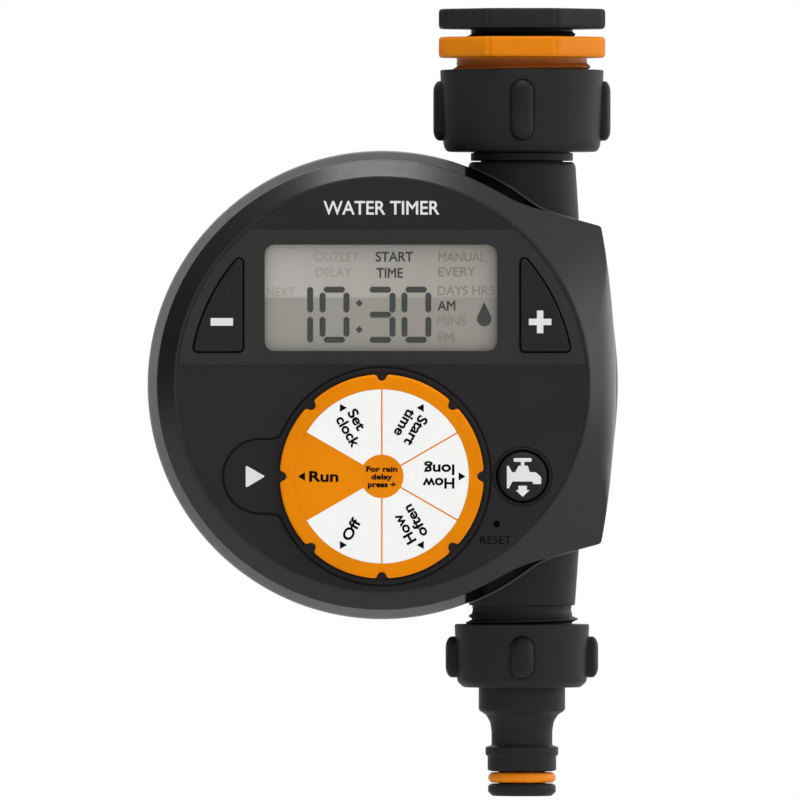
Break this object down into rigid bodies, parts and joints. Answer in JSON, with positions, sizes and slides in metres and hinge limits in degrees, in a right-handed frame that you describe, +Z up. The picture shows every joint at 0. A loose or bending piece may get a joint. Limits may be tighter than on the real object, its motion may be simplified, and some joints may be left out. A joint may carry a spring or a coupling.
{
  "type": "hose-tap irrigation timer",
  "caption": "Battery-powered tap timer that opens and closes a garden water line: round case with display and dial on a vertical pipe with a swivel tap nut and a hose nipple.",
  "frame": {"origin": "middle of the top face of the tap adaptor, on the pipe's axis", "axes": "+Z up along the pipe, the front of the case faces -Y, +X to the right seen from the front"},
  "size_m": [0.1108, 0.0636, 0.1854],
  "materials": {
    "black_adaptor": "fine moulded satin",
    "black_adaptor_washer": "matt",
    "orange_adaptor": "fine moulded satin",
    "orange_adaptor_washer": "matt",
    "inlet_nut": "fine moulded satin",
    "inlet_grip_front": "matt soft touch",
    "inlet_grip_right": "matt soft touch",
    "inlet_grip_back": "matt soft touch",
    "inlet_grip_left": "matt soft touch",
    "outlet_grip_front": "matt soft touch",
    "outlet_grip_right": "matt soft touch",
    "outlet_grip_back": "matt soft touch",
    "outlet_grip_left": "matt soft touch",
    "inlet_washer": "matt",
    "inlet_filter": "woven mesh",
    "inlet_tailpiece": "fine moulded satin",
    "valve_body": "fine moulded satin",
    "diaphragm": "matt",
    "diaphragm_plate": "satin",
    "diaphragm_spring": "bright wire",
    "valve_bonnet": "satin",
    "bonnet_ring": "satin",
    "solenoid_yoke": "zinc plated",
    "solenoid_coil": "enamelled winding",
    "solenoid_plunger": "ground",
    "plunger_spring": "bright wire",
    "solenoid_lead": "matt insulation",
    "outlet_washer": "matt",
    "outlet_nut": "fine moulded satin",
    "hose_nipple": "fine moulded satin",
    "nipple_o_ring": "matt",
    "front_cover": "fine moulded texture",
    "face_panel": "satin",
    "display_band": "satin",
    "lcd_lens": "clear acrylic",
    "lcd_module": "reflective liquid crystal",
    "dial_surround": "satin",
    "dial_knob": "semi gloss",
    "dial_label": "printed film",
    "dial_switch": "satin",
    "minus_button": "satin",
    "plus_button": "satin",
    "manual_button": "satin",
    "manual_bezel": "satin",
    "reset_button": "satin",
    "circuit_board": "solder mask",
    "minus_switch": "satin",
    "plus_switch": "satin",
    "manual_switch": "satin",
    "reset_switch": "satin",
    "rear_housing": "fine moulded texture",
    "battery_door": "fine moulded texture",
    "battery_seal": "matt",
    "battery_1": "printed sleeve",
    "battery_2": "printed sleeve",
    "battery_bridge": "nickel plated",
    "case_screw_1": "stainless",
    "case_screw_2": "stainless",
    "case_screw_3": "stainless",
    "case_screw_4": "stainless"
  },
  "bodies": {
    "timer_body": {"inlet_filter": "inlet_filter", "inlet_tailpiece": "inlet_tailpiece", "valve_body": "valve_body", "valve_bonnet": "valve_bonnet", "bonnet_ring": "bonnet_ring", "diaphragm": "diaphragm", "diaphragm_spring": "diaphragm_spring", "solenoid_yoke": "solenoid_yoke", "solenoid_coil": "solenoid_coil", "plunger_spring": "plunger_spring", "solenoid_lead": "solenoid_lead", "front_cover": "front_cover", "face_panel": "face_panel", "display_band": "display_band", "lcd_lens": "lcd_lens", "lcd_module": "lcd_module", "dial_surround": "dial_surround", "dial_switch": "dial_switch", "manual_bezel": "manual_bezel", "circuit_board": "circuit_board", "minus_switch": "minus_switch", "plus_switch": "plus_switch", "manual_switch": "manual_switch", "reset_switch": "reset_switch", "rear_housing": "rear_housing", "battery_seal": "battery_seal", "battery_1": "battery_1", "battery_2": "battery_2", "battery_bridge": "battery_bridge", "case_screw_1": "case_screw_1", "case_screw_2": "case_screw_2", "case_screw_3": "case_screw_3", "case_screw_4": "case_screw_4"},
    "inlet_nut": {"inlet_nut": "inlet_nut", "inlet_grip_front": "inlet_grip_front", "inlet_grip_right": "inlet_grip_right", "inlet_grip_back": "inlet_grip_back", "inlet_grip_left": "inlet_grip_left"},
    "inlet_washer": {"inlet_washer": "inlet_washer"},
    "orange_adaptor": {"orange_adaptor": "orange_adaptor"},
    "orange_adaptor_washer": {"orange_adaptor_washer": "orange_adaptor_washer"},
    "black_adaptor": {"black_adaptor": "black_adaptor", "black_adaptor_washer": "black_adaptor_washer"},
    "outlet_washer": {"outlet_washer": "outlet_washer"},
    "outlet_nut": {"outlet_nut": "outlet_nut", "outlet_grip_front": "outlet_grip_front", "outlet_grip_right": "outlet_grip_right", "outlet_grip_back": "outlet_grip_back", "outlet_grip_left": "outlet_grip_left"},
    "hose_nipple": {"hose_nipple": "hose_nipple", "nipple_o_ring": "nipple_o_ring"},
    "dial": {"dial_knob": "dial_knob", "dial_label": "dial_label"},
    "minus_button": {"minus_button": "minus_button"},
    "plus_button": {"plus_button": "plus_button"},
    "manual_button": {"manual_button": "manual_button"},
    "reset_button": {"reset_button": "reset_button"},
    "battery_door": {"battery_door": "battery_door"},
    "solenoid_plunger": {"solenoid_plunger": "solenoid_plunger"},
    "diaphragm_plate": {"diaphragm_plate": "diaphragm_plate"}
  },
  "joints": [
    {"name": "inlet_nut_swivel", "type": "hinge", "parent": "timer_body", "child": "inlet_nut", "pos_m": [0, 0, -0.024], "axis": [0, 0, 1], "continuous": true},
    {"name": "orange_adaptor_turn", "type": "hinge", "parent": "inlet_nut", "child": "inlet_washer", "pos_m": [0, 0, -0.0237], "axis": [0, 0, 1], "range_deg": [0, 1260]},
    {"name": "orange_adaptor_lift", "type": "slide", "parent": "inlet_washer", "child": "orange_adaptor", "axis": [0, 0, 1], "range_m": [0, 0.00808]},
    {"name": "black_adaptor_turn", "type": "hinge", "parent": "orange_adaptor", "child": "orange_adaptor_washer", "pos_m": [0, 0, -0.0172], "axis": [0, 0, 1], "range_deg": [0, 1800]},
    {"name": "black_adaptor_lift", "type": "slide", "parent": "orange_adaptor_washer", "child": "black_adaptor", "axis": [0, 0, 1], "range_m": [0, 0.00907]},
    {"name": "outlet_nut_turn", "type": "hinge", "parent": "timer_body", "child": "outlet_washer", "pos_m": [0, 0, -0.152], "axis": [0, 0, -1], "range_deg": [0, 1170]},
    {"name": "outlet_nut_drop", "type": "slide", "parent": "outlet_washer", "child": "outlet_nut", "axis": [0, 0, -1], "range_m": [0, 0.00589]},
    {"name": "nipple_swivel", "type": "hinge", "parent": "outlet_nut", "child": "hose_nipple", "pos_m": [0, 0, -0.158], "axis": [0, 0, 1], "continuous": true},
    {"name": "dial_turn", "type": "hinge", "parent": "timer_body", "child": "dial", "pos_m": [-0.033, -0.03, -0.11], "axis": [0, -1, 0], "continuous": true},
    {"name": "minus_press", "type": "slide", "parent": "timer_body", "child": "minus_button", "axis": [0, 1, 0], "range_m": [0, 0.0008], "stiffness_N_per_m": 600},
    {"name": "plus_press", "type": "slide", "parent": "timer_body", "child": "plus_button", "axis": [0, 1, 0], "range_m": [0, 0.0008], "stiffness_N_per_m": 600},
    {"name": "manual_press", "type": "slide", "parent": "timer_body", "child": "manual_button", "axis": [0, 1, 0], "range_m": [0, 0.0008], "stiffness_N_per_m": 600},
    {"name": "reset_press", "type": "slide", "parent": "timer_body", "child": "reset_button", "axis": [0, 1, 0], "range_m": [0, 0.0005], "stiffness_N_per_m": 600},
    {"name": "battery_door_hinge", "type": "hinge", "parent": "timer_body", "child": "battery_door", "pos_m": [-0.054, 0.0286, -0.0593], "axis": [1, 0, 0], "range_deg": [0, 90]},
    {"name": "plunger_pull", "type": "slide", "parent": "timer_body", "child": "solenoid_plunger", "axis": [-1, 0, 0], "range_m": [0, 0.001], "stiffness_N_per_m": 300, "deforming": ["plunger_spring"]},
    {"name": "diaphragm_lift", "type": "slide", "parent": "timer_body", "child": "diaphragm_plate", "axis": [-1, 0, 0], "range_m": [0, 0.0015], "stiffness_N_per_m": 200, "deforming": ["diaphragm", "diaphragm_spring"]}
  ],
  "couplings": [
    {"joint": "orange_adaptor_turn", "follows": "orange_adaptor_lift", "rad_per_m": 2721.2},
    {"joint": "black_adaptor_turn", "follows": "black_adaptor_lift", "rad_per_m": 3463.7},
    {"joint": "outlet_nut_turn", "follows": "outlet_nut_drop", "rad_per_m": 3463.7}
  ]
}
